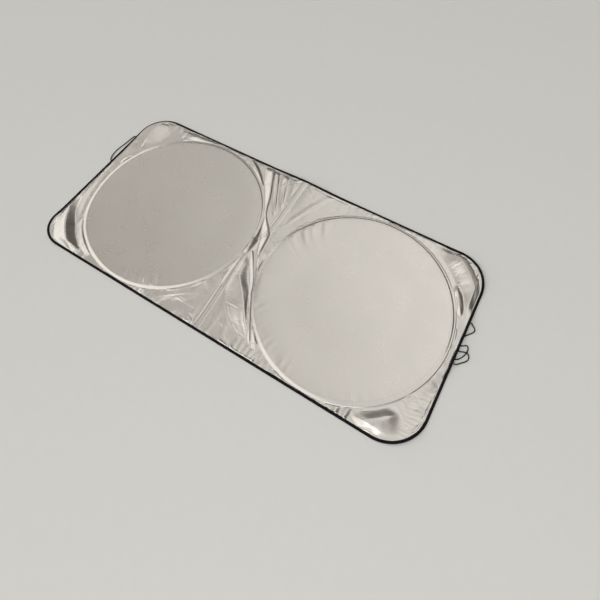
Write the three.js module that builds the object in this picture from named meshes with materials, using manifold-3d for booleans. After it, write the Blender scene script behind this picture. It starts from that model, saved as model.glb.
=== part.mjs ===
// Folding windscreen sunshade. Two panels of silver cloth are lapped and sewn together in the middle, black
// binding folds round the border with a spring wire inside it, and a spring wire hoop lies in a sewn casing
// under each panel. The shade lies open, as it comes to rest, with the creases that twist folding leaves.
// Millimetres, +Z up, X along the long side, the origin in the middle of the outline on the surface.

import * as THREE from 'three';
import { mergeVertices } from 'three/addons/utils/BufferGeometryUtils.js';
import Module from 'manifold-3d';

const wasm = await Module();
wasm.setup();

// Outline, built up from the hoops and the strips of cloth round them
const HOOP_RADIUS = 330;
const UPPER_MARGIN = 27;
const LOWER_MARGIN = 21;
const LEFT_MARGIN = 55;
const RIGHT_MARGIN = 36;
const HOOP_GAP = 105;
const CORNER_RADIUS = { lowerRight: 128, upperRight: 124, upperLeft: 112, lowerLeft: 100 };

// Cloth, seam and binding
const CLOTH_THICKNESS = 0.6;
const SEAM_LAP = 12;
const SEAM_RELIEF = 3;
const SEAM_ASIDE = 8;
const SEAM_FOOT_SHIFT = 14;
const SEAM_PULL = 31;
const SEAM_PULL_FROM = 9;
const SEAM_PULL_TO = 86;
const BINDING_WIDTH = 9;
const BINDING_TAPE = 0.45;
const MOUTH_CLEAR = 1.2;

// Wires, sleeves and casings
const BORDER_WIRE_DIAMETER = 1.4;
const HOOP_WIRE_DIAMETER = 1.6;
const SLEEVE_WALL = 0.3;
const SLEEVE_LENGTH = 22;
const WIRE_END_GAP = 0.6;
const CASING_HALF_WIDTH = 6.5;
const CASING_FLAT = 3;
const CASING_THICKNESS = 0.4;
const CHANNEL_HALF_WIDTH = 4;
const CLEARANCE = 0.3;
const SLEEVE_CLEARANCE = 0.25;
const CHANNEL_ROOM = 0.5;

// Stowage elastics at the two short edges
const ELASTIC_DIAMETER = 3.6;
const ELASTIC_STEP = 7;

// How the cloth lies
const DISC_CLOTH_HEIGHT = 0.75;
const SKIRT_RIPPLE = 2;
const HOOP_FADE = 14;
const BORDER_FADE = 26;
const ROLL_ANGLE = THREE.MathUtils.degToRad(44);

// Counts of stations and rows
const LONG_RUN_STATIONS = 11;
const CORNER_STATIONS = 6;
const SHORT_RUN_STATIONS = { left: 16, right: 10 };
const SEAM_STATIONS = 18;
const SKIRT_ROWS = 6;
const WIRE_SIDES = 6;
const SLEEVE_SIDES = 10;
const ELASTIC_SIDES = 8;

// Sizes worked out from the ones above
const HALF_HEIGHT = HOOP_RADIUS + (UPPER_MARGIN + LOWER_MARGIN) / 2;
const HALF_LENGTH = (LEFT_MARGIN + RIGHT_MARGIN + HOOP_GAP) / 2 + 2 * HOOP_RADIUS;
const HOOP_X = {
  left: -HALF_LENGTH + LEFT_MARGIN + HOOP_RADIUS,
  right: HALF_LENGTH - RIGHT_MARGIN - HOOP_RADIUS,
};
const HOOP_Y = (LOWER_MARGIN - UPPER_MARGIN) / 2;
const SEAM_X = (HOOP_X.left + HOOP_X.right) / 2 - SEAM_ASIDE;
const BORDER_SLEEVE_INNER = BORDER_WIRE_DIAMETER / 2 + SLEEVE_CLEARANCE;
const HOOP_SLEEVE_INNER = HOOP_WIRE_DIAMETER / 2 + SLEEVE_CLEARANCE;
const CAVITY_RADIUS = BORDER_SLEEVE_INNER + SLEEVE_WALL + CLEARANCE;
const BEND_RADIUS = CAVITY_RADIUS + BINDING_TAPE;
const MOUTH_HALF = CLOTH_THICKNESS + CLEARANCE * 1.5;
const MOUTH_INSET = BINDING_WIDTH + MOUTH_CLEAR;
const CLOTH_EDGE_INSET = BEND_RADIUS + BORDER_SLEEVE_INNER + SLEEVE_WALL + CLEARANCE;
const LAP_OFFSET = (CLOTH_THICKNESS + CLEARANCE) / 2;
const REST_HEIGHT = BEND_RADIUS;
const HOOP_WIRE_HEIGHT = CASING_THICKNESS + CLEARANCE + HOOP_SLEEVE_INNER + SLEEVE_WALL;
const CREST_HEIGHT = HOOP_WIRE_HEIGHT + HOOP_SLEEVE_INNER + SLEEVE_WALL + CHANNEL_ROOM + CLOTH_THICKNESS / 2;
const ELASTIC_LIFT = ELASTIC_DIAMETER + 2 * CLEARANCE;
const ELASTIC_REST = ELASTIC_DIAMETER / 2 + CLEARANCE;

// Long folds, each along the line of its crest. The cloth falls away over the width given for each side of
// the line, seen along it from first point to last, and the second number is the width at the far end.
const FOLDS = [
  {
    name: 'upper flap of the twist crease',
    crest: [[-142, HALF_HEIGHT], [-114, 287], [-85, 226], [-61, 150], [-23, 108], [9, 76], [24, 61]],
    height: 11,
    right: [30, 27],
    left: [7, 5],
  },
  {
    name: 'lower lip of the twist crease',
    crest: [[-56, 146], [-49, 110], [-34, 30], [-26, -8], [-2, -75], [30, -135], [84, -215], [141, -300]],
    height: 9,
    right: [18, 28],
    left: [12, 33],
  },
  {
    name: 'strip along the left edge',
    crest: [[24 - HALF_LENGTH, 292], [16 - HALF_LENGTH, 205], [15 - HALF_LENGTH, 90], [14 - HALF_LENGTH, -20]],
    height: 6,
    right: [8, 8],
    left: [30, 16],
  },
  {
    name: 'pillow in the upper left corner',
    crest: [[-600, 318], [-630, 290], [-646, 240], [-658, 190]],
    height: 13,
    right: [40, 46],
    left: [20, 28],
  },
];

// Crescent folds that follow a hoop, by the radius of the crest, the stretch of angle and the two widths
const CRESCENTS = [
  { side: 'left', beyond: 29, from: 170, to: 222, height: 8, inner: 19, outer: 18 },
  { side: 'left', beyond: 66, from: 198, to: 250, height: 16, inner: 28, outer: 46 },
  { side: 'left', beyond: 34, from: 94, to: 128, height: 6, inner: 20, outer: 18 },
  { side: 'right', beyond: 86, from: 22, to: 64, height: 21, inner: 44, outer: 30 },
  { side: 'right', beyond: 50, from: -64, to: -26, height: 12, inner: 26, outer: 42 },
];

// Places where a hoop is drawn out of round by the cloth: the angle, how far each side and how much
const HOOP_BULGES = [
  { side: 'left', at: -140, spread: 36, out: 8 },
  { side: 'left', at: 30, spread: 40, out: 3 },
];

// Places where the border stands clear of the surface: middle, reach and rise
const BORDER_LIFTS = [
  { x: 4, y: HALF_HEIGHT, reach: 175, rise: 3 },
  { x: 30 - HALF_LENGTH, y: 30 - HALF_HEIGHT, reach: 120, rise: 8 },
  { x: HALF_LENGTH - 36, y: 36 - HALF_HEIGHT, reach: 120, rise: 5 },
  { x: HALF_LENGTH - 36, y: HALF_HEIGHT - 36, reach: 130, rise: 7 },
];

// The stretch of border that is rolled under, near the upper left corner
const ROLL = { x: 10 - HALF_LENGTH, y: HALF_HEIGHT - 62, full: 30, reach: 178 };

// The stretch of the right edge that lies over the elastic
const ELASTIC_SPAN = { from: -40, to: 135, fade: 48 };

const silver = new THREE.MeshStandardMaterial({ color: 0xbdb9b4, roughness: 0.42, metalness: 0.55 });
const blackTape = new THREE.MeshStandardMaterial({ color: 0x15161a, roughness: 0.8, metalness: 0 });
const greyTape = new THREE.MeshStandardMaterial({ color: 0xa9a6a1, roughness: 0.7, metalness: 0.1 });
const springSteel = new THREE.MeshStandardMaterial({ color: 0x7c8084, roughness: 0.35, metalness: 1 });
const sleeveSteel = new THREE.MeshStandardMaterial({ color: 0xa8abad, roughness: 0.4, metalness: 1 });
const elastic = new THREE.MeshStandardMaterial({ color: 0x121214, roughness: 0.75, metalness: 0 });

const shade = new THREE.Group();

function addPiece(name, geometry, material) {
  const piece = new THREE.Mesh(geometry, material);
  piece.name = name;
  shade.add(piece);
}

// A step from 0 to 1 with level ends
function smooth(t) {
  const held = THREE.MathUtils.clamp(t, 0, 1);
  return held * held * (3 - 2 * held);
}

// Nearest place on a line of points: the distance, the share of the line's length and the side of the line
function nearestOnLine(points, x, y) {
  let best = { distance: Infinity };
  for (let i = 0; i + 1 < points.length; i += 1) {
    const [ax, ay] = points[i];
    const [bx, by] = points[i + 1];
    const length = Math.hypot(bx - ax, by - ay);
    const along = ((x - ax) * (bx - ax) + (y - ay) * (by - ay)) / length ** 2;
    const held = THREE.MathUtils.clamp(along, 0, 1);
    const distance = Math.hypot(x - ax - held * (bx - ax), y - ay - held * (by - ay));
    if (distance < best.distance) {
      const turn = (bx - ax) * (y - ay) - (by - ay) * (x - ax);
      best = { distance, share: (i + held) / (points.length - 1), side: Math.sign(turn) };
    }
  }
  return best;
}

function foldHeight(fold, x, y) {
  const near = nearestOnLine(fold.crest, x, y);
  const [start, end] = near.side > 0 ? fold.left : fold.right;
  const width = THREE.MathUtils.lerp(start, end, near.share);
  return fold.height * smooth(1 - near.distance / width);
}

// Angle between two directions, without regard to which is ahead
function swingBetween(angle, degrees) {
  const turn = angle - THREE.MathUtils.degToRad(degrees);
  return Math.abs(Math.atan2(Math.sin(turn), Math.cos(turn)));
}

function hoopAngle(side, x, y) {
  return Math.atan2(y - HOOP_Y, x - HOOP_X[side]);
}

function hoopRadius(side, angle) {
  let radius = HOOP_RADIUS;
  for (const bulge of HOOP_BULGES.filter((item) => item.side === side)) {
    radius += bulge.out * smooth(1 - swingBetween(angle, bulge.at) / THREE.MathUtils.degToRad(bulge.spread));
  }
  return radius;
}

// How far a place lies outside a hoop's wire
function pastHoop(side, x, y) {
  return Math.hypot(x - HOOP_X[side], y - HOOP_Y) - hoopRadius(side, hoopAngle(side, x, y));
}

function crescentHeight(crescent, x, y) {
  const past = pastHoop(crescent.side, x, y) - crescent.beyond;
  const half = THREE.MathUtils.degToRad((crescent.to - crescent.from) / 2);
  const swing = swingBetween(hoopAngle(crescent.side, x, y), (crescent.from + crescent.to) / 2);
  const across = smooth(1 - Math.abs(past) / (past < 0 ? crescent.inner : crescent.outer));
  return crescent.height * across * smooth(2 * (1 - swing / half));
}

// Height of the folds over a place in the strips of cloth round the hoops
function foldsAt(x, y) {
  const heights = FOLDS.map((fold) => foldHeight(fold, x, y));
  const round = CRESCENTS.map((crescent) => crescentHeight(crescent, x, y));
  return Math.max(...heights) + Math.max(...round);
}

function borderHeight(x, y) {
  let lift = 0;
  for (const place of BORDER_LIFTS) {
    lift += place.rise * smooth(1 - Math.hypot(x - place.x, y - place.y) / place.reach);
  }
  const { from, to, fade } = ELASTIC_SPAN;
  if (x > HALF_LENGTH - MOUTH_INSET * 2) {
    lift += ELASTIC_LIFT * smooth((y - from + fade) / fade) * smooth((to + fade - y) / fade);
  }
  return REST_HEIGHT + lift;
}

function borderRoll(x, y) {
  const distance = Math.hypot(x - ROLL.x, y - ROLL.y);
  return ROLL_ANGLE * smooth((ROLL.reach - distance) / (ROLL.reach - ROLL.full));
}

// Middle of the lapped seam. Its lower part is drawn aside by the cloth that the crease takes up.
function seamAt(y) {
  const shift = THREE.MathUtils.lerp(SEAM_FOOT_SHIFT, SEAM_PULL, smooth(1 + y / HALF_HEIGHT));
  return SEAM_X - shift * (1 - smooth((y - SEAM_PULL_FROM) / (SEAM_PULL_TO - SEAM_PULL_FROM)));
}

function station(x, y, nx, ny) {
  return { x, y, z: borderHeight(x, y), nx, ny, roll: borderRoll(x, y) };
}

// Stations along a straight run, at equal angles seen from the hoop's middle, without the last one
function straightRun(side, from, to, count) {
  const [ax, ay] = from;
  const [bx, by] = to;
  const length = Math.hypot(bx - ax, by - ay);
  const first = hoopAngle(side, ax, ay);
  const turn = hoopAngle(side, bx, by) - first;
  const sweep = Math.atan2(Math.sin(turn), Math.cos(turn));
  const run = [];
  for (let i = 0; i < count; i += 1) {
    const angle = first + (sweep * i) / count;
    const across = (HOOP_X[side] - ax) * Math.sin(angle) + (ay - HOOP_Y) * Math.cos(angle);
    const t = across / ((bx - ax) * Math.sin(angle) - (by - ay) * Math.cos(angle));
    run.push(station(ax + t * (bx - ax), ay + t * (by - ay), (by - ay) / length, (ax - bx) / length));
  }
  return run;
}

function cornerRun(cx, cy, radius, startDegrees) {
  const run = [];
  for (let i = 0; i < CORNER_STATIONS; i += 1) {
    const angle = THREE.MathUtils.degToRad(startDegrees + (90 * i) / CORNER_STATIONS);
    const [nx, ny] = [Math.cos(angle), Math.sin(angle)];
    run.push(station(cx + radius * nx, cy + radius * ny, nx, ny));
  }
  return run;
}

// Border of one half, counterclockwise, with its first end on the seam and without its last
function borderOf(side) {
  const hand = side === 'right' ? 1 : -1;
  const first = side === 'right' ? CORNER_RADIUS.lowerRight : CORNER_RADIUS.upperLeft;
  const second = side === 'right' ? CORNER_RADIUS.upperRight : CORNER_RADIUS.lowerLeft;
  const [x, y] = [hand * HALF_LENGTH, hand * HALF_HEIGHT];
  const start = side === 'right' ? -90 : 90;
  return [
    ...straightRun(side, [seamAt(-y), -y], [x - hand * first, -y], LONG_RUN_STATIONS),
    ...cornerRun(x - hand * first, -y + hand * first, first, start),
    ...straightRun(side, [x, -y + hand * first], [x, y - hand * second], SHORT_RUN_STATIONS[side]),
    ...cornerRun(x - hand * second, y - hand * second, second, start + 90),
    ...straightRun(side, [x - hand * second, y], [seamAt(y), y], LONG_RUN_STATIONS),
  ];
}

// A place in the binding's section: u outwards from the outer edge, v up, turned with the border's roll
function sectionPlace(at, u, v) {
  const inward = u + BEND_RADIUS;
  const out = inward * Math.cos(at.roll) + v * Math.sin(at.roll) - BEND_RADIUS;
  const up = v * Math.cos(at.roll) - inward * Math.sin(at.roll);
  return new THREE.Vector3(at.x + at.nx * out, at.y + at.ny * out, at.z + up);
}

// Closed ring of one section: a lathed blank whose columns are laid at the stations
function ringOf(section, stations, place) {
  const closed = [...section, section[0]].map(([u, v]) => new THREE.Vector2(HOOP_RADIUS + u, v));
  const blank = new THREE.LatheGeometry(closed, stations.length);
  const position = blank.getAttribute('position');
  for (let column = 0; column <= stations.length; column += 1) {
    const at = stations[column % stations.length];
    for (let row = 0; row < closed.length; row += 1) {
      const [u, v] = section[row % section.length];
      const spot = place(at, u, v);
      position.setXYZ(column * closed.length + row, spot.x, spot.y, spot.z);
    }
  }
  return mergedShell(blank);
}

function mergedShell(geometry) {
  geometry.deleteAttribute('normal');
  geometry.deleteAttribute('uv');
  const shell = mergeVertices(geometry.index ? geometry : geometry.clone(), 1e-4);
  shell.computeVertexNormals();
  return shell;
}

function toSolid(geometry) {
  const shell = mergedShell(geometry);
  return new wasm.Manifold(new wasm.Mesh({
    numProp: 3,
    vertProperties: new Float32Array(shell.getAttribute('position').array),
    triVerts: new Uint32Array(shell.index.array),
  }));
}

function toGeometry(solid) {
  const mesh = solid.getMesh();
  const geometry = new THREE.BufferGeometry();
  geometry.setAttribute('position', new THREE.BufferAttribute(new Float32Array(mesh.vertProperties), 3));
  geometry.setIndex(new THREE.BufferAttribute(new Uint32Array(mesh.triVerts), 1));
  geometry.computeVertexNormals();
  return geometry;
}

// Round section, clockwise, so that the swept shell faces outwards
function roundSection(radius, sides, height) {
  const section = [];
  for (let i = 0; i < sides; i += 1) {
    const angle = (-2 * Math.PI * i) / sides;
    section.push([radius * Math.cos(angle), height + radius * Math.sin(angle)]);
  }
  return section.reverse();
}

// Half-round bend of the binding, from its top to its bottom
function bendPoints(radius) {
  return [90, 30, -30, -90].map((degrees) => {
    const angle = THREE.MathUtils.degToRad(degrees);
    return [radius * Math.cos(angle) - BEND_RADIUS, radius * Math.sin(angle)];
  });
}

function bindingSection() {
  const outside = bendPoints(BEND_RADIUS);
  const inside = bendPoints(CAVITY_RADIUS);
  const lip = MOUTH_HALF + BINDING_TAPE;
  return [
    [-BINDING_WIDTH, lip],
    [-BINDING_WIDTH, MOUTH_HALF],
    ...inside,
    [-BINDING_WIDTH, -MOUTH_HALF],
    [-BINDING_WIDTH, -lip],
    ...outside.reverse(),
  ];
}

// Columns of one panel: where its cloth enters the binding or the seam, its cut edge, and its upward side
function borderColumn(at) {
  return {
    mouth: sectionPlace(at, -MOUTH_INSET, 0),
    edge: sectionPlace(at, -CLOTH_EDGE_INSET, 0),
    up: new THREE.Vector3(at.nx * Math.sin(at.roll), at.ny * Math.sin(at.roll), Math.cos(at.roll)),
  };
}

function seamColumn(side, mouthY, edgeY) {
  const hand = side === 'right' ? 1 : -1;
  const height = seamHeight(edgeY) - hand * LAP_OFFSET;
  const inside = SEAM_LAP / 2 + SEAM_RELIEF;
  return {
    mouth: new THREE.Vector3(seamAt(mouthY) + hand * inside, mouthY, height),
    edge: new THREE.Vector3(seamAt(edgeY) - (hand * SEAM_LAP) / 2, edgeY, height),
    up: new THREE.Vector3(0, 0, 1),
  };
}

function seamHeight(y) {
  const clear = smooth((HALF_HEIGHT - MOUTH_INSET - Math.abs(y)) / BORDER_FADE);
  return borderHeight(seamAt(y), y) + clear * foldsAt(seamAt(y), y);
}

function columnsOf(side) {
  const top = side === 'right' ? 1 : -1;
  const columns = borderOf(side).slice(1).map(borderColumn);
  const mouthY = HALF_HEIGHT - MOUTH_INSET;
  const edgeY = HALF_HEIGHT - CLOTH_EDGE_INSET;
  columns.push(seamColumn(side, top * mouthY, top * edgeY));
  for (let i = 1; i < SEAM_STATIONS; i += 1) {
    const y = top * mouthY * (1 - (2 * i) / SEAM_STATIONS);
    columns.push(seamColumn(side, y, y));
  }
  columns.push(seamColumn(side, -top * mouthY, -top * edgeY));
  for (const column of columns) {
    column.angle = hoopAngle(side, column.mouth.x, column.mouth.y);
  }
  return columns;
}

// The disc of cloth inside a hoop, which lies low in the middle and rises over the wire
function discRows(side, column) {
  const wire = hoopRadius(side, column.angle);
  const foot = wire - CHANNEL_HALF_WIDTH;
  const rows = [
    [0, DISC_CLOTH_HEIGHT],
    [wire * 0.5, DISC_CLOTH_HEIGHT],
    [foot - CHANNEL_HALF_WIDTH * 5, DISC_CLOTH_HEIGHT],
    [foot, REST_HEIGHT],
    [wire, CREST_HEIGHT],
    [wire + CHANNEL_HALF_WIDTH, REST_HEIGHT],
  ];
  return rows.map(([radius, height]) => new THREE.Vector3(
    HOOP_X[side] + radius * Math.cos(column.angle),
    HOOP_Y + radius * Math.sin(column.angle),
    height,
  ));
}

// The strip between the hoop and the column's mouth, raised by the folds that cross it
function skirtRows(side, column, index, foot) {
  const rows = [];
  for (let i = 1; i < SKIRT_ROWS; i += 1) {
    const share = i / SKIRT_ROWS;
    const spot = foot.clone().lerp(column.mouth, share);
    spot.z = THREE.MathUtils.lerp(foot.z, column.mouth.z, smooth(share));
    const inside = Math.min(HALF_HEIGHT - Math.abs(spot.y), HALF_LENGTH - Math.abs(spot.x)) - MOUTH_INSET;
    const past = pastHoop(side, spot.x, spot.y) - CHANNEL_HALF_WIDTH;
    const ripple = index % 2 === 0 ? SKIRT_RIPPLE : 0;
    const loose = smooth(past / HOOP_FADE) * smooth(inside / BORDER_FADE);
    const seamRise = column.seam ? smooth(share) * (column.mouth.z - REST_HEIGHT) : 0;
    spot.z += loose * Math.max(foldsAt(spot.x, spot.y) + ripple - seamRise, 0);
    rows.push(spot);
  }
  return rows;
}

// One panel: a lathed disc blank, underside then top, laid out over the columns of its half
function panelOf(side) {
  const columns = columnsOf(side);
  const seamStart = columns.length - SEAM_STATIONS - 1;
  const lines = columns.map((column, index) => {
    column.seam = index >= seamStart;
    const disc = discRows(side, column);
    return [...disc, ...skirtRows(side, column, index, disc[disc.length - 1]), column.mouth, column.edge];
  });
  const rows = lines[0].length;
  const profile = [];
  for (let row = 0; row < 2 * rows; row += 1) {
    const radius = row < rows ? row : 2 * rows - 1 - row;
    profile.push(new THREE.Vector2(radius, row < rows ? 0 : CLOTH_THICKNESS));
  }
  const blank = new THREE.LatheGeometry(profile, columns.length);
  const position = blank.getAttribute('position');
  const level = new THREE.Vector3(0, 0, 1);
  for (let column = 0; column <= columns.length; column += 1) {
    const turn = column % columns.length;
    for (let row = 0; row < profile.length; row += 1) {
      const step = row < rows ? row : 2 * rows - 1 - row;
      const up = step >= rows - 2 ? columns[turn].up : level;
      const offset = (row < rows ? -1 : 1) * (CLOTH_THICKNESS / 2);
      const spot = lines[turn][step].clone().addScaledVector(up, offset);
      position.setXYZ(column * profile.length + row, spot.x, spot.y, spot.z);
    }
  }
  return mergedShell(blank);
}

// Stations on a hoop, at the angles of its panel's columns
function hoopStations(side) {
  return columnsOf(side).map(({ angle }) => {
    const [nx, ny] = [Math.cos(angle), Math.sin(angle)];
    const wire = hoopRadius(side, angle);
    return { x: HOOP_X[side] + wire * nx, y: HOOP_Y + wire * ny, nx, ny };
  });
}

function hoopPlace(at, u, v) {
  return new THREE.Vector3(at.x + at.nx * u, at.y + at.ny * u, v);
}

function casingSection() {
  const rise = REST_HEIGHT - CLOTH_THICKNESS / 2 - CLEARANCE;
  return [
    [-CASING_FLAT, 0],
    [CASING_FLAT, 0],
    [CASING_HALF_WIDTH, rise],
    [CASING_FLAT, CASING_THICKNESS],
    [-CASING_FLAT, CASING_THICKNESS],
    [-CASING_HALF_WIDTH, rise],
  ];
}

// The sleeve that joins a wire's two ends lies along one chord of the wire, in the middle of that chord
function chordFrame(stations, index, place, u, v) {
  const from = place(stations[index], u, v);
  const to = place(stations[(index + 1) % stations.length], u, v);
  return { middle: from.clone().lerp(to, 0.5), along: to.sub(from).normalize() };
}

function sleeveOn(frame, inner) {
  const half = SLEEVE_LENGTH / 2;
  const wall = [[inner, -half], [inner + SLEEVE_WALL, -half], [inner + SLEEVE_WALL, half], [inner, half]];
  const profile = [...wall, wall[0]].map(([radius, y]) => new THREE.Vector2(radius, y));
  const tube = mergedShell(new THREE.LatheGeometry(profile, SLEEVE_SIDES));
  tube.applyQuaternion(new THREE.Quaternion().setFromUnitVectors(new THREE.Vector3(0, 1, 0), frame.along));
  tube.translate(frame.middle.x, frame.middle.y, frame.middle.z);
  return tube;
}

// A wire whose two ends face each other inside its sleeve
function openWire(ring, frame) {
  const reach = HOOP_WIRE_DIAMETER * 2;
  const gap = new THREE.BoxGeometry(reach, WIRE_END_GAP, reach);
  gap.applyQuaternion(new THREE.Quaternion().setFromUnitVectors(new THREE.Vector3(0, 1, 0), frame.along));
  gap.translate(frame.middle.x, frame.middle.y, frame.middle.z);
  return toGeometry(toSolid(ring).subtract(toSolid(gap)));
}

function addBorder() {
  const stations = [...borderOf('right'), ...borderOf('left')];
  addPiece('edge_binding', ringOf(bindingSection(), stations, sectionPlace), blackTape);
  const section = roundSection(BORDER_WIRE_DIAMETER / 2, WIRE_SIDES, 0);
  const wire = ringOf(section.map(([u, v]) => [u - BEND_RADIUS, v]), stations, sectionPlace);
  const frame = chordFrame(stations, 4, sectionPlace, -BEND_RADIUS, 0);
  addPiece('border_wire', openWire(wire, frame), springSteel);
  addPiece('border_wire_sleeve', sleeveOn(frame, BORDER_SLEEVE_INNER), sleeveSteel);
}

function addHoop(side) {
  const stations = hoopStations(side);
  const section = roundSection(HOOP_WIRE_DIAMETER / 2, WIRE_SIDES, HOOP_WIRE_HEIGHT);
  const ring = ringOf(section, stations, hoopPlace);
  const frame = chordFrame(stations, 5, hoopPlace, 0, HOOP_WIRE_HEIGHT);
  addPiece(`hoop_wire_${side}`, openWire(ring, frame), springSteel);
  addPiece(`hoop_wire_sleeve_${side}`, sleeveOn(frame, HOOP_SLEEVE_INNER), sleeveSteel);
  addPiece(`hoop_casing_${side}`, ringOf(casingSection(), stations, hoopPlace), greyTape);
}

// Round elastic cord along a smooth line through its points
function cordAlong(points) {
  const curve = new THREE.CatmullRomCurve3(points.map((point) => new THREE.Vector3(...point)));
  const outline = new THREE.Shape();
  outline.absarc(0, 0, ELASTIC_DIAMETER / 2, 0, 2 * Math.PI);
  const steps = Math.round(curve.getLength() / ELASTIC_STEP);
  const cord = new THREE.ExtrudeGeometry(outline, {
    steps,
    curveSegments: ELASTIC_SIDES / 2,
    bevelEnabled: false,
    extrudePath: curve,
  });
  return mergedShell(cord);
}

// The left elastic lies beside the edge, bowed out from its two sewn ends
function addLeftElastic() {
  const edge = -HALF_LENGTH;
  const rest = ELASTIC_REST;
  addPiece('stowage_elastic_left', cordAlong([
    [edge - CLEARANCE * 2, 202, REST_HEIGHT],
    [edge - 4, 202, REST_HEIGHT],
    [edge - 8, 195, rest],
    [edge - 10, 178, rest],
    [edge - 12, 158, rest],
    [edge - 15, 138, rest],
    [edge - 18, 118, rest],
    [edge - 19, 99, rest],
    [edge - 17, 81, rest],
    [edge - 13, 67, rest],
    [edge - 8, 57, rest],
    [edge - 4, 52, REST_HEIGHT],
    [edge - CLEARANCE * 2, 52, REST_HEIGHT],
  ]), elastic);
}

// The right elastic lies crumpled, in and out under the lifted edge, and crosses over itself once
function addRightElastic() {
  const edge = HALF_LENGTH;
  const rest = ELASTIC_REST;
  const sewn = REST_HEIGHT + ELASTIC_LIFT;
  const over = rest + ELASTIC_DIAMETER + CLEARANCE * 2;
  addPiece('stowage_elastic_right', cordAlong([
    [edge + CLEARANCE * 2, -33, sewn],
    [edge + 5, -33, sewn - 0.3],
    [edge + 12, -28, rest + 1],
    [edge + 20, -19, rest],
    [edge + 29, -10, rest],
    [edge + 35, 0, rest],
    [edge + 35, 10, rest],
    [edge + 30, 17, rest + 1.5],
    [edge + 23.5, 19, over],
    [edge + 16, 18, rest + 1.5],
    [edge + 7, 15, rest],
    [edge, 14, rest],
    [edge - 5, 19, rest],
    [edge - 5, 27, rest],
    [edge, 32, rest],
    [edge + 8, 37, rest],
    [edge + 15, 42, rest],
    [edge + 21, 40, rest],
    [edge + 24, 31, rest],
    [edge + 23.5, 19, rest],
    [edge + 18, 3, rest],
    [edge + 9, -11, rest],
    [edge, -17, rest],
    [edge - 7, -12, rest],
    [edge - 10.5, 4, rest],
    [edge - 11, 24, rest],
    [edge - 9, 44, rest],
    [edge - 5, 60, rest],
    [edge + 2, 71, rest],
    [edge + 10, 82, rest],
    [edge + 18, 92, rest],
    [edge + 21, 102, rest],
    [edge + 17, 109, rest + 0.6],
    [edge + 11, 113, rest + 2.2],
    [edge + 5, 118, sewn - 0.2],
    [edge + CLEARANCE * 2, 118, sewn],
  ]), elastic);
}

addPiece('silver_panel_left', panelOf('left'), silver);
addPiece('silver_panel_right', panelOf('right'), silver);
addBorder();
addHoop('left');
addHoop('right');
addLeftElastic();
addRightElastic();

export default shade;
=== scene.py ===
"""Folding windscreen sunshade lying open: cloth, binding, elastics, stitching, finishes and stage."""

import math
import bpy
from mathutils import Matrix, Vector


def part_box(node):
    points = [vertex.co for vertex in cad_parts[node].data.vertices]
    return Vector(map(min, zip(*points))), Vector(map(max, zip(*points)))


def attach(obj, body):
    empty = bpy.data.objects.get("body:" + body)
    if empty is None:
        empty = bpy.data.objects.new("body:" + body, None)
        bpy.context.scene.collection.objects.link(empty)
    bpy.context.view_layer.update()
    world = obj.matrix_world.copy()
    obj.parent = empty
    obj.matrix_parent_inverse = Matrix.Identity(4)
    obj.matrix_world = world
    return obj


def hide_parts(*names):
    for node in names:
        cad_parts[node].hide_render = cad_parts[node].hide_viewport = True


bl_info = {
    "name": "Windscreen Sunshade",
    "version": (1, 0, 0),
    "blender": (4, 5, 0),
    "location": "View3D > Sidebar > Sunshade",
    "description": "Dresses a folding windscreen sunshade with creased silver cloth, binding and stitching",
    "category": "Object",
}

import bmesh
import bpy
import numpy as np
from bpy.props import FloatProperty, FloatVectorProperty, IntProperty, PointerProperty
from mathutils import Matrix, Vector
from mathutils.bvhtree import BVHTree

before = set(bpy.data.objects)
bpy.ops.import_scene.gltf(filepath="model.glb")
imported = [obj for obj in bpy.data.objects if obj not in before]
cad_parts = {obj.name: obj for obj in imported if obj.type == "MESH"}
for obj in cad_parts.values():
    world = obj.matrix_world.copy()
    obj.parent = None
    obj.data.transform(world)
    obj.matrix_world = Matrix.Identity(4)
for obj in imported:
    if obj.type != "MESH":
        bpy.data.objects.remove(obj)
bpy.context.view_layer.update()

# Shapes are worked out in millimetres and written to the meshes in metres
MM = 0.001


def plan_box(node):
    low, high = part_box(node)
    return np.array(low) / MM, np.array(high) / MM


BINDING_LOW, BINDING_HIGH = plan_box("edge_binding")
HALF_LENGTH = (BINDING_HIGH[0] - BINDING_LOW[0]) / 2
HALF_HEIGHT = (BINDING_HIGH[1] - BINDING_LOW[1]) / 2


# Sizes that the frame's solids have, repeated where a box can't give them
HOOP_RADIUS = 330.0
LEFT_MARGIN = 55.0
RIGHT_MARGIN = 36.0
HOOP_X = {"left": LEFT_MARGIN + HOOP_RADIUS - HALF_LENGTH, "right": HALF_LENGTH - RIGHT_MARGIN - HOOP_RADIUS}
HOOP_Y = -3.0
SEAM_ASIDE = 8.0
SEAM_X = sum(HOOP_X.values()) / 2 - SEAM_ASIDE
CORNER_RADIUS = {"lowerRight": 128.0, "upperRight": 124.0, "upperLeft": 112.0, "lowerLeft": 100.0}
CLOTH_THICKNESS = 0.5
SEAM_LAP = 13.0
SEAM_FOOT_SHIFT = 14.0
SEAM_PULL = 31.0
SEAM_PULL_SPAN = (9.0, 86.0)
BINDING_WIDTH = 9.0
BEND_RADIUS = 2.0
MOUTH_INSET = 8.0
REST_HEIGHT = 2.0
HOOP_CLOTH_HEIGHT = 4.3
CHANNEL_FOOT = 10.0
CLOTH_FLOOR = 0.7
DISC_CLOTH_HEIGHT = 0.8
LAP_OFFSET = 0.45

# The cloth's fall outside a hoop's wire: steeper round one angle, and partly held up round another
STEEP_FOOT = 5.0
STEEP_ANGLE = 62
STEEP_SPREAD = 75
GENTLE_SHARE = {"left": 0.0, "right": 0.85}
GENTLE_ANGLE = -36
GENTLE_SPREAD = 44

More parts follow.
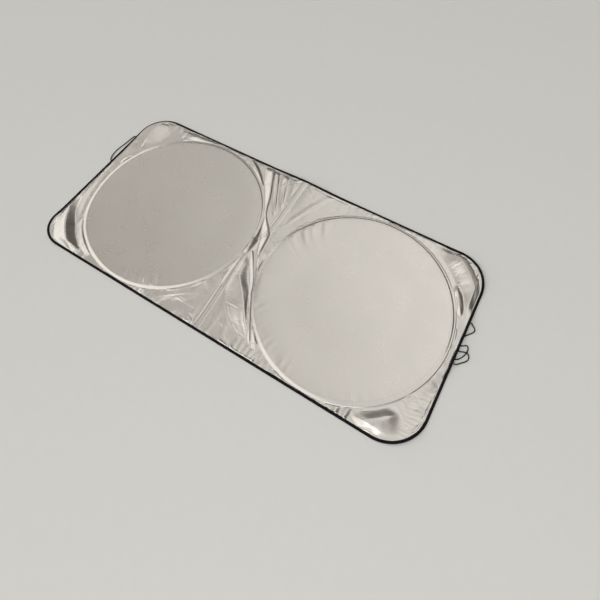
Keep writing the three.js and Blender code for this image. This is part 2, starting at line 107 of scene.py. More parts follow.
# Roll of the border with its middle, full reach and whole reach, and its rise over the right elastic
ROLL_ANGLE = math.radians(44)
ROLL_PLACE = (10 - HALF_LENGTH, HALF_HEIGHT - 62, 30, 178)
ELASTIC_LIFT = 4.2
ELASTIC_SPAN = (-40, 135, 48)

# Height of an elastic's middle where it lies, and how much higher it is where it crosses itself
ELASTIC_REST = 2.1
ELASTIC_CROSSING = 4.2

# Places where a hoop is drawn out of round by the cloth: side, angle, how far each side and how much
HOOP_BULGES = (("left", -140, 36, 8), ("left", 30, 40, 3))

# Places where the border stands clear of the surface: middle, reach and rise
BORDER_LIFTS = (
    (4, HALF_HEIGHT, 165, 6),
    (30 - HALF_LENGTH, 30 - HALF_HEIGHT, 120, 8),
    (HALF_LENGTH - 36, 36 - HALF_HEIGHT, 120, 5),
    (HALF_LENGTH - 36, HALF_HEIGHT - 36, 130, 7),
)

# Long folds, each along the line of its crest: x, y, height, and the widths of its right and left slopes
LONG_FOLDS = (
    # The upper flap of the crease, and the white facet that its end makes over the seam
    ((-146, 354, 10, 38, 4), (-114, 287, 10, 33, 4), (-85, 226, 9, 26, 4), (-60, 158, 5, 12, 4),
     (-46, 134, 4.5, 8, 4), (-23, 108, 7, 17, 4), (2, 79, 9, 28, 4), (9, 60, 8.5, 26, 4), (14, 30, 7, 19, 4),
     (18, -6, 3, 9, 4)),
    # The dark wedge beside the left hoop
    ((-58, 146, 3, 5, 5), (-50, 110, 6, 7, 8), (-40, 60, 11, 8, 17), (-33, 20, 12, 9, 24),
     (-27, -8, 9, 9, 26), (-22, -30, 4, 9, 20), (-18, -50, 0.5, 8, 12)),
    # The dark facet below the crease, which falls to the slot, and the slot's rolled lip
    ((-12, -40, 2, 30, 12), (-3, -72, 8, 50, 21), (10, -116, 11.5, 64, 28), (54, -166, 10.5, 62, 25),
     (112, -234, 7, 52, 16), (160, -290, 0.5, 24, 10)),
    ((-16, -4, 2, 6, 4), (2, -26, 6, 6, 5), (24, -60, 8, 6, 6), (58, -108, 8, 6, 6), (116, -212, 7, 6, 5),
     (158, -275, 5, 6, 4), (178, -303, 0.5, 6, 3)),
    # The bank between the slot and the right hoop
    ((28, -14, 1.5, 10, 20), (44, -50, 3.5, 8, 26), (74, -98, 4.5, 8, 24), (133, -200, 4, 8, 12),
     (184, -284, 4, 14, 14), (204, -306, 0.5, 10, 10)),
    # The pillow beside the strip along the left edge
    ((-690, 330, 2, 10, 60), (-702, 300, 10, 9, 66), (-706, 262, 13, 7, 66), (-703, 222, 11, 6, 56),
     (-697, 190, 4, 6, 34), (-694, 168, 0.5, 6, 20)),
    # The soft band from the pillow along the upper edge
    ((-590, 322, 1, 18, 16), (-540, 331, 4, 26, 12), (-470, 338, 3.5, 16, 8), (-380, 344, 0.5, 8, 6)),
    # Creases that fan from the pinch to the upper edge
    ((-112, 330, 3.4, 18, 5), (-66, 240, 4.2, 17, 5), (-24, 158, 1.5, 8, 4)),
    ((-72, 342, 3.6, 22, 5), (-44, 262, 4, 19, 5), (-12, 190, 1.5, 9, 4)),
    ((-34, 344, 3, 22, 5), (-16, 286, 3, 18, 5), (-8, 220, 0.5, 8, 4)),
    ((-240, 336, 3, 12, 12), (-174, 285, 4.2, 14, 12), (-124, 226, 4, 10, 8), (-94, 178, 1, 6, 6)),
    ((126, 336, 2, 22, 16), (88, 262, 2.4, 20, 14), (54, 188, 1.6, 15, 12), (36, 132, 0.3, 12, 10)),
    # Soft dents beside the lower edge
    ((-122, -190, 0.5, 20, 12), (-98, -200, 2.2, 24, 14), (-66, -212, 0.5, 18, 12)),
    ((-190, -322, 0.5, 26, 22), (-150, -290, 1.8, 32, 24), (-112, -262, 1.6, 30, 20),
     (-74, -240, 0.3, 14, 12)),
    # Folds in the strip beside the right hoop, and at the left edge below the pillow
    ((672, 226, 1, 14, 12), (690, 190, 9, 16, 16), (708, 152, 8, 14, 15), (724, 122, 1, 8, 10)),
    ((698, 112, 1, 10, 10), (710, 86, 8, 13, 15), (724, 48, 7, 12, 14), (736, 20, 0.5, 8, 8)),
    ((-700, 112, 0.5, 8, 8), (-698, 92, 4.5, 20, 6), (-700, 66, 4.5, 20, 6), (-704, 50, 0.5, 12, 6)),
)

# Where the crease's lower lip leans over the slot: x, y, lean for each millimetre of height, and its reach
LIP_LEAN = ((2, -26, 0.2, 12, 12), (24, -60, 1.0, 14, 14), (58, -108, 1.1, 14, 14), (116, -212, 1.0, 12, 12),
            (158, -275, 0.5, 10, 10), (178, -303, 0, 8, 8))
LIP_WAY = (0.85, 0.53)
LIP_LEVEL = 4.5

# Crescent folds round a hoop: side, crest beyond the hoop and its flat width, start and end angles, height,
# and inner and outer widths
CRESCENTS = (
    ("left", 40, 0, 168, 222, 7, 15, 22),
    ("left", 70, 0, 196, 252, 19, 31, 46),
    ("left", 8, 0, 214, 252, 5, 8, 27),
    ("left", 30, 0, 92, 130, 4, 20, 14),
    ("right", 80, 4, 18, 64, 17, 48, 22),
    ("right", 50, 6, -64, -40, 10, 27, 44),
)

# Puckers inside a hoop: side, start and end angles, pitch, height, length, and slant from the radius
PUCKERS = (
    ("left", -92, -58, 13, 1.7, 34, 0.2),
    ("left", -140, -100, 17, 0.5, 26, -0.2),
    ("left", 20, 70, 22, 0.4, 30, 0.1),
    ("right", 126, 172, 18, 1.6, 62, -0.5),
    ("right", 186, 222, 15, 1.5, 48, 0.4),
    ("right", 222, 266, 14, 1.4, 32, 0.2),
    ("right", 268, 330, 19, 0.5, 24, 0.1),
    ("right", 60, 120, 24, 0.4, 30, 0.1),
)

# How the loose cloth round the hoops is cut, how firmly its links hold, and how it is left to settle
CLOTH_SLACK = 0.003
CLOTH_SHEAR = 1.2
THREAD_HOLD = 0.9
SHEAR_HOLD = 0.55
CLOTH_STIFFNESS = 0.3
SETTLE_STEPS = 120
QUICK_SETTLE_STEPS = 30
SPEED_KEPT = 0.92
FALL = 0.004
PULL_HOME = 0.002

# Stitches: rows inside a hoop's wire and on both sides of the seam, the thread and its random seed
HOOP_STITCH = 5.0
SEAM_STITCHES = (-4.5, 3.5)
THREAD_RADIUS = 0.32
STITCH_SHARE = 0.66
STITCH_SEED = 5
HOOP_LINE_POINTS = 720
SEAM_LINE_POINTS = 500

# Edges of the room's light, each as the part of a direction where it starts and where it is full
ROOM_EDGES = {
    "ceiling": (0.62, 0.74), "far_end": (0.74, 0.56), "right_end": (0.46, 0.16), "wall_side": (0.45, 0.64),
    "wall_top": (0.7, 0.6), "wall_foot": (0.04, 0.13), "near_side": (0.1, -0.1), "near_end": (0.3, 0.0),
    "horizon": (0.32, 0.16),
}
# The ceiling's brightness: what it gains to the right and away from the camera, its base, and its limits
CEILING_GAIN = (0.8, 1.04)
CEILING_BASE = 0.56
CEILING_LIMITS = (0.08, 1.3)
WALL_WAY = (-0.94, -0.342, 0)
WARM_LIGHT = (1.0, 0.92, 0.78, 1)
PALE_LIGHT = (1.0, 0.985, 0.96, 1)
FILL_PLACE = (1.6, -2.6, 2.8)
FILL_SIZE = (2.4, 2.4)
FLOOR_REACH = 9000


def smooth(t):
    held = np.clip(t, 0, 1)
    return held * held * (3 - 2 * held)


def facet(t):
    """A step from 0 to 1 that climbs evenly, with only its ends rounded."""
    held = np.clip(t, 0, 1)
    return 0.72 * held + 0.28 * smooth(held)


def value_noise(u, v, seed):
    """Smooth noise from -1 to 1 on a unit lattice, repeating every 256 cells."""
    table = np.random.default_rng(seed).uniform(-1, 1, (256, 256))
    iu, iv = np.floor(u).astype(int), np.floor(v).astype(int)
    fu, fv = smooth(u - iu), smooth(v - iv)
    a = table[iu % 256, iv % 256]
    b = table[(iu + 1) % 256, iv % 256]
    c = table[iu % 256, (iv + 1) % 256]
    d = table[(iu + 1) % 256, (iv + 1) % 256]
    return (a * (1 - fu) + b * fu) * (1 - fv) + (c * (1 - fu) + d * fu) * fv


def curved(points, pieces):
    """Catmull-Rom line through the points."""
    points = np.array(points, float)
    ends = np.vstack([2 * points[0] - points[1], points, 2 * points[-1] - points[-2]])
    t = np.linspace(0, 1, pieces, endpoint=False)[:, None]
    line = []
    for p0, p1, p2, p3 in zip(ends, ends[1:], ends[2:], ends[3:]):
        slope = (p2 - p0) * t
        square = (2 * p0 - 5 * p1 + 4 * p2 - p3) * t**2
        cube = (3 * p1 - 3 * p2 + p3 - p0) * t**3
        line.append((2 * p1 + slope + square + cube) / 2)
    return np.vstack([*line, points[-1:]])


def nearest_on_line(points, x, y):
    """Distance to a crest line, whether a place is on its left, and the line's height and widths there."""
    best = np.full(x.shape, np.inf)
    on_left = np.zeros(x.shape, bool)
    facts = np.zeros((*x.shape, 3))
    for first, second in zip(points, points[1:]):
        (ax, ay), (dx, dy) = first[:2], second[:2] - first[:2]
        held = np.clip(((x - ax) * dx + (y - ay) * dy) / (dx * dx + dy * dy), 0, 1)
        distance = np.hypot(x - ax - held * dx, y - ay - held * dy)
        closer = distance < best
        best = np.where(closer, distance, best)
        on_left = np.where(closer, dx * (y - ay) > dy * (x - ax), on_left)
        here = first[2:] + held[..., None] * (second[2:] - first[2:])
        facts = np.where(closer[..., None], here, facts)
    return best, on_left, facts


def swing_between(angle, degrees):
    turn = angle - math.radians(degrees)
    return np.abs(np.arctan2(np.sin(turn), np.cos(turn)))


def hoop_angle(side, x, y):
    return np.arctan2(y - HOOP_Y, x - HOOP_X[side])


def hoop_radius(side, angle):
    radius = np.full(np.shape(angle), HOOP_RADIUS)
    for where, at, spread, out in HOOP_BULGES:
        if where == side:
            radius = radius + out * smooth(1 - swing_between(angle, at) / math.radians(spread))
    return radius


def past_hoop(side, x, y):
    """How far a place lies outside a hoop's wire."""
    return np.hypot(x - HOOP_X[side], y - HOOP_Y) - hoop_radius(side, hoop_angle(side, x, y))


def folds_at(x, y):
    """Height of the folds over a place in the cloth round the hoops."""
    long_rise = np.zeros(x.shape)
    for crest in LONG_FOLDS:
        distance, on_left, facts = nearest_on_line(curved(crest, 4), x, y)
        width = np.where(on_left, facts[..., 2], facts[..., 1])
        long_rise = np.maximum(long_rise, facts[..., 0] * facet(1 - distance / width))
    round_rise = np.zeros(x.shape)
    for side, beyond, flat, start, stop, height, inner, outer in CRESCENTS:
        past = past_hoop(side, x, y) - beyond
        past = np.sign(past) * np.maximum(np.abs(past) - flat / 2, 0)
        swing = swing_between(hoop_angle(side, x, y), (start + stop) / 2) / math.radians((stop - start) / 2)
        across = facet(1 - np.abs(past) / np.where(past < 0, inner, outer))
        round_rise = np.maximum(round_rise, height * across * smooth(1.6 * (1 - swing)))
    return long_rise + round_rise


def lean_over(places):
    """Leans the crease's lower lip over the slot beside it."""
    x, y, z = np.moveaxis(places, -1, 0)
    distance, _, facts = nearest_on_line(curved(LIP_LEAN, 4), x, y)
    shift = facts[..., 0] * smooth(1 - distance / facts[..., 1]) * (z - LIP_LEVEL)
    return np.stack([x + LIP_WAY[0] * shift, y + LIP_WAY[1] * shift, z], axis=-1)


def border_height(x, y):
    lift = np.zeros(x.shape)
    for px, py, reach, rise in BORDER_LIFTS:
        lift = lift + rise * smooth(1 - np.hypot(x - px, y - py) / reach)
    low, high, fade = ELASTIC_SPAN
    over_elastic = smooth((y - low + fade) / fade) * smooth((high + fade - y) / fade)
    return REST_HEIGHT + lift + np.where(x > HALF_LENGTH - 20, ELASTIC_LIFT * over_elastic, 0)


def border_roll(x, y):
    px, py, full, reach = ROLL_PLACE
    return ROLL_ANGLE * smooth((reach - np.hypot(x - px, y - py)) / (reach - full))


def seam_at(y):
    shift = SEAM_FOOT_SHIFT + (SEAM_PULL - SEAM_FOOT_SHIFT) * smooth(1 + y / HALF_HEIGHT)
    low, high = SEAM_PULL_SPAN
    return SEAM_X - shift * (1 - smooth((y - low) / (high - low)))


def straight(start, end, spacing):
    start, end = np.array(start, float), np.array(end, float)
    length = np.linalg.norm(end - start)
    count = max(2, round(length / spacing))
    t = np.arange(count)[:, None] / count
    normal = np.array([end[1] - start[1], start[0] - end[0]]) / length
    return np.hstack([start + t * (end - start), np.tile(normal, (count, 1))])


def corner(cx, cy, radius, start_degrees, spacing):
    count = max(4, round(radius * math.pi / 2 / spacing))
    angle = math.radians(start_degrees) + np.arange(count) / count * math.pi / 2
    normal = np.column_stack([np.cos(angle), np.sin(angle)])
    return np.hstack([np.array([cx, cy]) + radius * normal, normal])


def border_of(side, spacing):
    """Border of one half, counterclockwise from the seam and without its last end: x, y and way out."""
    hand = 1 if side == "right" else -1
    names = ("lowerRight", "upperRight") if side == "right" else ("upperLeft", "lowerLeft")
    first, second = (CORNER_RADIUS[name] for name in names)
    x, y = hand * HALF_LENGTH, hand * HALF_HEIGHT
    start = -90 if side == "right" else 90
    return np.vstack([
        straight((seam_at(-y), -y), (x - hand * first, -y), spacing),
        corner(x - hand * first, -y + hand * first, first, start, spacing),
        straight((x, -y + hand * first), (x, y - hand * second), spacing),
        corner(x - hand * second, y - hand * second, second, start + 90, spacing),
        straight((x - hand * second, y), (seam_at(y), y), spacing),
    ])


def whole_border(spacing):
    return np.vstack([border_of("right", spacing), border_of("left", spacing)])


def section_place(stations, u, v):
    """Places in the binding's section: u out from the outer edge, v up, turned with the border's roll."""
    x, y, nx, ny = stations.T
    roll = border_roll(x, y)
    inward = u + BEND_RADIUS
    out = inward * np.cos(roll) + v * np.sin(roll) - BEND_RADIUS
    up = v * np.cos(roll) - inward * np.sin(roll)
    return np.column_stack([x + nx * out, y + ny * out, border_height(x, y) + up])


def grid_faces(rows, columns, closed):
    """Quads between rows of columns, rows counted along the first index."""
    across = np.arange(columns if closed else columns - 1)
    after = (across + 1) % columns
    faces = []
    for row in range(rows - 1):
        low, high = row * columns, (row + 1) * columns
        faces.append(np.column_stack([low + across, low + after, high + after, high + across]))
    return np.vstack(faces)


def add_object(name, data):
    piece = bpy.data.objects.new(name, data)
    bpy.context.scene.collection.objects.link(piece)
    return piece


def shade_smooth(mesh):
    mesh.polygons.foreach_set("use_smooth", [True] * len(mesh.polygons))


def mesh_piece(name, points, faces, material):
    """A mesh object from points in millimetres."""
    mesh = bpy.data.meshes.new(name)
    mesh.from_pydata((np.asarray(points) * MM).tolist(), [], faces)
    mesh.validate()
    shade_smooth(mesh)
    mesh.materials.append(material)
    return add_object(name, mesh)


def finish_piece(piece, slot, *nodes):
    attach(piece, "root")
    if nodes:
        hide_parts(*nodes)


# Materials


class NodeWork:
    """A node tree, with short ways to add and join nodes."""

    def __init__(self, tree):
        self.nodes = tree.nodes
        self.links = tree.links

    def add(self, kind, values=(), **settings):
        node = self.nodes.new(kind)
        for key, value in settings.items():
            setattr(node, key, value)
        for socket, value in dict(values).items():
            if isinstance(value, bpy.types.NodeSocket):
                self.links.new(value, node.inputs[socket])
            else:
                node.inputs[socket].default_value = value
        return node

    def math(self, operation, a, b=0.5, clamp=False):
        return self.add("ShaderNodeMath", {0: a, 1: b}, operation=operation, use_clamp=clamp).outputs[0]

    def spread(self, value, low, high, to_low=0.0, to_high=1.0, **settings):
        values = {"Value": value, "From Min": low, "From Max": high, "To Min": to_low, "To Max": to_high}
        return self.add("ShaderNodeMapRange", values, **settings).outputs["Result"]

    def mix(self, share, color_a, color_b):
        node = self.add("ShaderNodeMix", data_type="RGBA")
        for name, value in (("Factor", share), ("A", color_a), ("B", color_b)):
            socket = next(s for s in node.inputs if s.name == name and s.enabled)
            if isinstance(value, bpy.types.NodeSocket):
                self.links.new(value, socket)
            else:
                socket.default_value = value
        return next(s for s in node.outputs if s.enabled)


class Shader(NodeWork):
    """A material with a plain surface shader that its noise, weave and bumps are joined to."""

    def __init__(self, name, color, roughness, metallic=0.0):
        self.material = bpy.data.materials.new(name)
        self.material.use_nodes = True
        super().__init__(self.material.node_tree)
        self.surface = self.nodes["Principled BSDF"]
        self.surface.inputs["Base Color"].default_value = (*color, 1)
        self.surface.inputs["Roughness"].default_value = roughness
        self.surface.inputs["Metallic"].default_value = metallic
        self.place = self.add("ShaderNodeTexCoord").outputs["Object"]

    def noise(self, scale, detail=2.0):
        values = {"Vector": self.place, "Scale": scale, "Detail": detail, "Roughness": 0.5}
        return self.add("ShaderNodeTexNoise", values).outputs["Fac"]

    def wave(self, scale, direction):
        values = {"Vector": self.place, "Scale": scale, "Distortion": 0.4, "Detail": 1.0}
        return self.add("ShaderNodeTexWave", values, bands_direction=direction).outputs["Fac"]

    def bump(self, height, distance, strength, normal=None):
        values = {"Height": height, "Distance": distance, "Strength": strength}
        if normal:
            values["Normal"] = normal
        return self.add("ShaderNodeBump", values).outputs["Normal"]

    def set(self, **sockets):
        for name, value in sockets.items():
            self.links.new(value, self.surface.inputs[name.replace("_", " ")])


def silver_cloth(settings):
    shader = Shader("silver_cloth", settings.cloth_color, settings.cloth_roughness, settings.cloth_metallic)
    patches = shader.spread(shader.noise(3.0, 3.0), 0.3, 0.75)
    light = (*settings.cloth_color, 1)
    dull = tuple(channel * 0.97 for channel in settings.cloth_color) + (1,)
    shader.set(Base_Color=shader.mix(patches, light, dull))
    shine = shader.spread(shader.noise(14.0, 4.0), 0.3, 0.7, settings.cloth_roughness - 0.015,
                          settings.cloth_roughness + 0.02)
    shader.set(Roughness=shine)
    weave = shader.math("ADD", shader.wave(420.0, "X"), shader.wave(420.0, "Y"))
    fine = shader.bump(weave, 0.00002, 0.35)
    rumple = shader.noise(55.0)
    soft = shader.bump(rumple, 0.0004, 0.35, fine)
    shader.set(Normal=soft)
    return shader.material


def woven_tape(name, color):
    shader = Shader(name, color, 0.88)
    ribs = shader.math("ADD", shader.wave(260.0, "DIAGONAL"), shader.noise(900.0))
    worn = shader.spread(shader.noise(60.0, 3.0), 0.35, 0.75)
    pale = tuple(min(1.0, channel * 1.5 + 0.003) for channel in color) + (1,)
    shader.set(Base_Color=shader.mix(worn, (*color, 1), pale))
    shader.set(Normal=shader.bump(ribs, 0.0003, 0.6))
    shader.surface.inputs["Specular IOR Level"].default_value = 0.18
    return shader.material


def braided_elastic():
    shader = Shader("black_elastic", (0.006, 0.006, 0.0065), 0.8)
    braid = shader.math("MULTIPLY", shader.wave(230.0, "DIAGONAL"), shader.wave(230.0, "X"))
    shader.set(Normal=shader.bump(braid, 0.0004, 0.8))
    shader.surface.inputs["Specular IOR Level"].default_value = 0.2
    return shader.material


def drawn_steel(name, color, roughness):
    shader = Shader(name, color, roughness, 1.0)
    streaks = shader.noise(700.0, 3.0)
    shader.set(Roughness=shader.spread(streaks, 0.3, 0.7, roughness - 0.08, roughness + 0.1))
    shader.set(Normal=shader.bump(streaks, 0.00004, 0.5))
    return shader.material


def sewing_thread(name, color):
    shader = Shader(name, color, 0.6)
    twist = shader.wave(900.0, "DIAGONAL")
    shader.set(Normal=shader.bump(twist, 0.0001, 0.7))
    return shader.material


# Settings


class ShadeSettings(bpy.types.PropertyGroup):
    cloth_color: FloatVectorProperty(
        name="Cloth colour", description="Colour of the silver coating", subtype="COLOR",
        default=(0.72, 0.69, 0.645), min=0, max=1)
    cloth_metallic: FloatProperty(
        name="Cloth metal share", description="How much the coating mirrors as metal does",
        default=0.9, min=0, max=1)
    cloth_roughness: FloatProperty(
        name="Cloth roughness", description="Spread of the coating's shine", default=0.28, min=0.1, max=1)
    column_spacing: FloatProperty(
        name="Column spacing", description="Mesh spacing along the border", default=4.2 * MM, unit="LENGTH")
    skirt_rows: IntProperty(
        name="Skirt rows", description="Mesh rows between a hoop and the border", default=42, min=6)
    pucker_height: FloatProperty(
        name="Pucker height", description="Height of the small puckers along sewn lines",
        default=1.1 * MM, unit="LENGTH")
    elastic_diameter: FloatProperty(
        name="Elastic diameter", description="Thickness of the stowage elastics",
        default=3.6 * MM, unit="LENGTH")
    stitch_pitch: FloatProperty(
        name="Stitch pitch", description="Distance from one stitch to the next",
        default=4.5 * MM, unit="LENGTH")


class StageSettings(bpy.types.PropertyGroup):
    camera_place: FloatVectorProperty(
        name="Camera place", description="Where the camera stands", subtype="TRANSLATION", unit="LENGTH",
        default=(0.6096, -0.6082, 1.4793))
    camera_target: FloatVectorProperty(
        name="Camera target", description="Where the camera's axis meets the floor", subtype="TRANSLATION",
        unit="LENGTH", default=(0.0837, 0.1690, 0.0))
    camera_roll: FloatProperty(
        name="Camera roll", description="Turn about the camera's axis", subtype="ANGLE",
        default=math.radians(-3.66))
    lens: FloatProperty(name="Lens", description="Focal length in millimetres", default=28.25)
    floor_color: FloatVectorProperty(
        name="Floor colour", description="Colour of the plain floor", subtype="COLOR",
        default=(0.84, 0.84, 0.82), min=0, max=1)
    ceiling: FloatProperty(name="Ceiling light", description="Strength of the light from above", default=1.04)
    wall: FloatProperty(
        name="Wall light", description="Strength of the light from the left and near sides", default=1.2)
    dim: FloatProperty(
        name="Dim light", description="Strength of the light from the other sides", default=0.05)
    horizon: FloatProperty(
        name="Horizon light", description="Strength of the pale band past the floor's edge", default=0.45)
    fill: FloatProperty(name="Fill lamp", description="Power of the fill lamp in watts", default=24)


# Cloth panels


def skirt_roughness(side, x, y, past, inside):
    """Puckers, gathers and slack of the cloth round a hoop, in millimetres."""
    angle = hoop_angle(side, x, y)
    seed = 11 if side == "left" else 12
    arc = (angle + math.pi) * HOOP_RADIUS
    gathers = value_noise(arc / 13, past * 0 + 3.5, seed) * np.exp(-past / 20)
    along = np.where(np.abs(y) > HALF_HEIGHT - 90, x, y)
    hems = value_noise(along / 15, inside / 60, seed + 20) * np.exp(-np.maximum(inside, 0) / 30)
    near_corner = smooth((HALF_LENGTH - 90 - np.abs(x)) / 120)
    hems = hems * np.where(y < 60 - HALF_HEIGHT, 1 + 3.2 * near_corner, 0.15 + 1.3 * near_corner)
    slack = value_noise(x / 55, y / 55, seed + 40) * 0.9 + value_noise(x / 22, y / 22, seed + 60) * 0.3
    return 0.8 * gathers + hems + slack + 1.2


def panel_columns(side, spacing):
    """Cloth columns of one half: mouth places and hidden edge places, with the seam's after the border's."""
    hand = 1 if side == "right" else -1
    stations = border_of(side, spacing)
    stations = stations[hand * (stations[:, 0] - seam_at(stations[:, 1])) > SEAM_LAP / 2 + 4]
    count = round(2 * HALF_HEIGHT / spacing / 0.75)
    count += -(len(stations) + count + 1) % 4
    y = hand * (HALF_HEIGHT - MOUTH_INSET) * (1 - 2 * np.arange(count + 1) / count)
    inside = HALF_HEIGHT - MOUTH_INSET - np.abs(y)
    covered = np.maximum(smooth((y - SEAM_PULL_SPAN[1] + 12) / 16), smooth((SEAM_PULL_SPAN[0] - y) / 16))
    bands = []
    for share, puff in zip((1, 0.9, 0.45, 0, -0.45, -0.9, -1), (0, -0.3, 0.55, 0.7, 0.55, 0.1, 0)):
        hidden = section_place(stations, -MOUTH_INSET + (1 - share) * 1.2, 0)
        x = seam_at(y) + hand * (SEAM_LAP / 2 * share + 2 * (share == 1))
        height = border_height(seam_at(y), y) + smooth(inside / 26) * folds_at(x, y) - hand * LAP_OFFSET
        puffed = height + (puff * covered if hand < 0 else 0)
        bands.append(np.vstack([hidden, np.column_stack([x, y, puffed])]))
    return bands, len(stations)


def disc_puckers(side, angle, inwards):
    """Short ridges that run inwards from the hoop's stitching, in millimetres."""
    arc = angle * HOOP_RADIUS
    height = np.zeros(angle.shape)
    for number, (where, start, stop, pitch, rise, length, slant) in enumerate(PUCKERS):
        if where != side:
            continue
        swing = swing_between(angle, (start + stop) / 2) / math.radians((stop - start) / 2)
        ridge = value_noise((arc + slant * inwards) / pitch, inwards / (3 * length), 70 + number)
        reach = np.exp(-(inwards / length) ** 2) * smooth(inwards / 6)
        height = height + rise * smooth(1.6 * (1 - swing)) * ridge * reach
    return height


def disc_row(side, angle, past, seed):
    """One row of the taut cloth inside a hoop, at a distance past the wire that is negative inside it."""
    radius = hoop_radius(side, angle) + past
    x, y = HOOP_X[side] + radius * np.cos(angle), HOOP_Y + radius * np.sin(angle)
    rise = smooth(1 + past / 150)
    steep = smooth(1.6 - swing_between(angle, STEEP_ANGLE) / math.radians(STEEP_SPREAD))
    foot = CHANNEL_FOOT + (STEEP_FOOT - CHANNEL_FOOT) * steep
    drop = facet((past - 0.4) / (foot - 0.4))
    height = DISC_CLOTH_HEIGHT + (HOOP_CLOTH_HEIGHT - DISC_CLOTH_HEIGHT) * rise
    swing = swing_between(angle, GENTLE_ANGLE) / math.radians(GENTLE_SPREAD)
    gentle = GENTLE_SHARE[side] * smooth(1.5 - swing)
    height = height + (REST_HEIGHT - HOOP_CLOTH_HEIGHT) * drop * (1 - gentle)
    arc = angle * HOOP_RADIUS
    stitched = 0.22 * (1 - drop) * smooth(1 + past / 16) * value_noise(arc / 9, arc * 0 + 1.5, seed + 1)
    swell = value_noise(x / 210, y / 210, seed + 2) * 0.25 * smooth(-past / 80)
    inwards = np.full(angle.shape, max(-past, 0.0))
    return np.column_stack([x, y, height + stitched + swell + disc_puckers(side, angle, inwards)])


def panel_rows(side, settings):
    """Rows of points from the hoop's middle to the panel's cut edge: coarse ones, then fine ones."""
    bands, border_count = panel_columns(side, settings.column_spacing / MM)
    mouth = bands[0]
    columns = len(mouth)
    angle = hoop_angle(side, mouth[:, 0], mouth[:, 1])
    seed = 31 if side == "left" else 32
    coarse = [disc_row(side, angle[::4], past, seed)
              for past in -HOOP_RADIUS + (HOOP_RADIUS - 60) * np.linspace(0.12, 1, 10)]
    fine = [disc_row(side, angle, past, seed)
            for past in np.concatenate([-np.linspace(52, 2, 8), np.linspace(0, CHANNEL_FOOT, 8)])]
    foot = fine[-1]
    skirt = [foot]
    seam_side = np.arange(columns) >= border_count
    at_seam = border_height(seam_at(mouth[:, 1]), mouth[:, 1])
    border_lift = np.where(seam_side, at_seam, mouth[:, 2]) - REST_HEIGHT
    foot_rise = foot[:, 2] - REST_HEIGHT
    length = np.hypot(*(mouth - foot)[:, :2].T)
    lap_offset = np.where(seam_side, LAP_OFFSET if side == "left" else -LAP_OFFSET, 0)
    for share in np.linspace(0, 1, settings.skirt_rows + 1)[1:]:
        spot = foot + share * (mouth - foot)
        x, y = spot[:, 0], spot[:, 1]
        inside = np.minimum(HALF_HEIGHT - np.abs(y), HALF_LENGTH - np.abs(x)) - MOUTH_INSET
        past = past_hoop(side, x, y) - CHANNEL_FOOT
        loose = smooth(past / 7 + 0.1) * smooth(inside / 24)
        rough = skirt_roughness(side, x, y, np.maximum(past, 0), inside)
        lap_fade = np.where(seam_side, smooth((1 - share) * 3), 1)
        tight = smooth(past / 5) * smooth(inside / 4 + 0.12) * lap_fade
        near_seam = smooth(1 - (1 - share) * length / 12)
        spot[:, 2] = (REST_HEIGHT + (1 - smooth(share)) * foot_rise + smooth(share) * border_lift
                      + loose * folds_at(x, y) + tight * rough + near_seam * lap_offset)
        skirt.append(spot)
    skirt[-1] = mouth
    settled = settle(np.array(skirt), seed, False)
    settled[1:-1] = lean_over(settled[1:-1])
    fine.extend(settled[1:])
    fine.extend(bands[1:])
    return np.array(coarse), np.array(fine)


